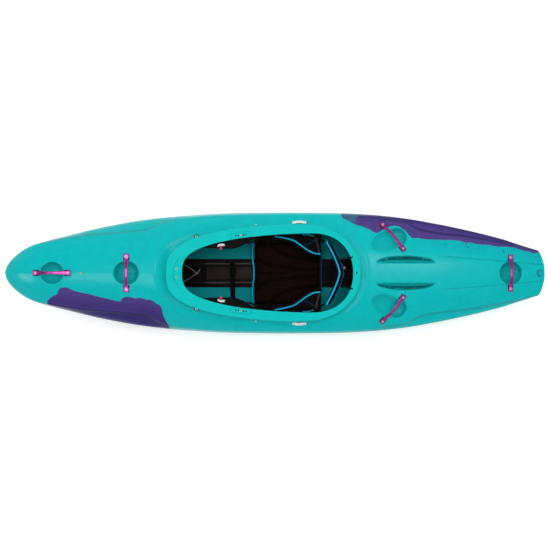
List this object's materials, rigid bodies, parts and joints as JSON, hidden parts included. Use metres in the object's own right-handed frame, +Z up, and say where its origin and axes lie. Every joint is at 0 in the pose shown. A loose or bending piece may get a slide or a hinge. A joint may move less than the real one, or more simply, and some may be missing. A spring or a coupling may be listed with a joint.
{
  "type": "whitewater kayak",
  "caption": "Short plastic river kayak with a wide cockpit rim, padded seat and backrest, thigh braces, footrest, and bolted grab handles over finger dishes.",
  "frame": {"origin": "on the flat planing bottom, under the middle of the whole boat's box", "axes": "+X along the boat to the stern, bow at -X; +Y to the right as seen with the bow to the left and from above, away from the viewer; +Z up"},
  "size_m": [2.6997, 0.62, 0.4085],
  "materials": {
    "hull_plastic": "rotomoulded turquoise plastic with indigo patches, fine satin grain",
    "anodised": "magenta anodised, satin",
    "steel": "stainless steel",
    "brass": "worn brass",
    "black_plastic": "moulded black",
    "foam": "closed-cell foam",
    "cloth": "coated cloth over foam",
    "webbing": "woven strap",
    "grey_cord": "braided sleeve",
    "blue_cord": "braided sleeve",
    "pink_plastic": "moulded",
    "white_plastic": "moulded",
    "plug": "moulded"
  },
  "bodies": {
    "boat": {"bow_handle": "anodised", "bow_handle_bolt_a": "steel", "bow_handle_bolt_b": "steel", "bow_pillar": "foam", "brace_bolt_left": "steel", "brace_bolt_right": "steel", "deck_bolt_left": "steel", "deck_bolt_right": "steel", "drain_bush": "black_plastic", "floor_spine": "black_plastic", "foot_rail_left": "steel", "foot_rail_right": "steel", "foredeck_handle": "anodised", "foredeck_handle_bolt_a": "steel", "foredeck_handle_bolt_b": "steel", "foredeck_screw": "brass", "gear_buckle": "black_plastic", "gear_strap": "webbing", "hull": "hull_plastic", "ladder_strap_left": "black_plastic", "ladder_strap_right": "black_plastic", "nose_bolt_left": "steel", "nose_bolt_right": "steel", "rear_elastic_left": "webbing", "rear_elastic_right": "webbing", "rear_left_handle": "anodised", "rear_left_handle_bolt_a": "steel", "rear_left_handle_bolt_b": "steel", "rear_right_handle": "anodised", "rear_right_handle_bolt_a": "steel", "rear_right_handle_bolt_b": "steel", "security_bar_left": "steel", "security_bar_left_bolt_a": "steel", "security_bar_left_bolt_b": "steel", "security_bar_right": "steel", "security_bar_right_bolt_a": "steel", "security_bar_right_bolt_b": "steel", "side_bolt_left": "steel", "side_bolt_right": "steel", "stern_handle": "anodised", "stern_handle_bolt_a": "steel", "stern_handle_bolt_b": "steel", "stern_pillar": "foam", "tray_cord": "grey_cord"},
    "seat": {"seat_shell": "black_plastic", "seat_pad": "cloth", "hip_pad_right": "cloth", "hip_pad_left": "cloth"},
    "backrest": {"backrest_band": "cloth", "backrest_cord": "blue_cord", "cord_lock": "white_plastic"},
    "footrest": {"footrest_plate": "black_plastic", "footrest_pad": "foam"},
    "plug": {"drain_plug": "plug"},
    "brace_right": {"thigh_brace_right": "black_plastic", "ratchet_right": "steel"},
    "lever_right": {"release_right": "pink_plastic"},
    "brace_left": {"thigh_brace_left": "black_plastic", "ratchet_left": "steel"},
    "lever_left": {"release_left": "pink_plastic"}
  },
  "joints": [
    {"name": "seat_slide", "type": "slide", "parent": "boat", "child": "seat", "axis": [1, 0, 0], "range_m": [-0.06, 0.02], "deforming": ["ladder_strap_right", "ladder_strap_left", "rear_elastic_right", "rear_elastic_left"]},
    {"name": "backrest_tilt", "type": "hinge", "parent": "seat", "child": "backrest", "pos_m": [0.24, 0, 0.205], "axis": [0, -1, 0], "range_deg": [-8, 25]},
    {"name": "footrest_slide", "type": "slide", "parent": "boat", "child": "footrest", "axis": [1, 0, 0], "range_m": [-0.09, 0.1]},
    {"name": "plug_lift", "type": "slide", "parent": "boat", "child": "plug", "axis": [0.1302, 0, 0.9915], "range_m": [0, 0.025]},
    {"name": "brace_right_slide", "type": "slide", "parent": "boat", "child": "brace_right", "axis": [0.9846, 0.1378, -0.1078], "range_m": [-0.025, 0.025]},
    {"name": "lever_right_turn", "type": "hinge", "parent": "brace_right", "child": "lever_right", "pos_m": [-0.28262, 0.12474, 0.33674], "axis": [-0.9846, -0.1378, 0.1078], "range_deg": [0, 50], "stiffness_Nm_per_rad": 0.005},
    {"name": "brace_left_slide", "type": "slide", "parent": "boat", "child": "brace_left", "axis": [0.9846, -0.1378, -0.1078], "range_m": [-0.025, 0.025]},
    {"name": "lever_left_turn", "type": "hinge", "parent": "brace_left", "child": "lever_left", "pos_m": [-0.28262, -0.12474, 0.33674], "axis": [0.9846, -0.1378, -0.1078], "range_deg": [0, 50], "stiffness_Nm_per_rad": 0.005}
  ]
}
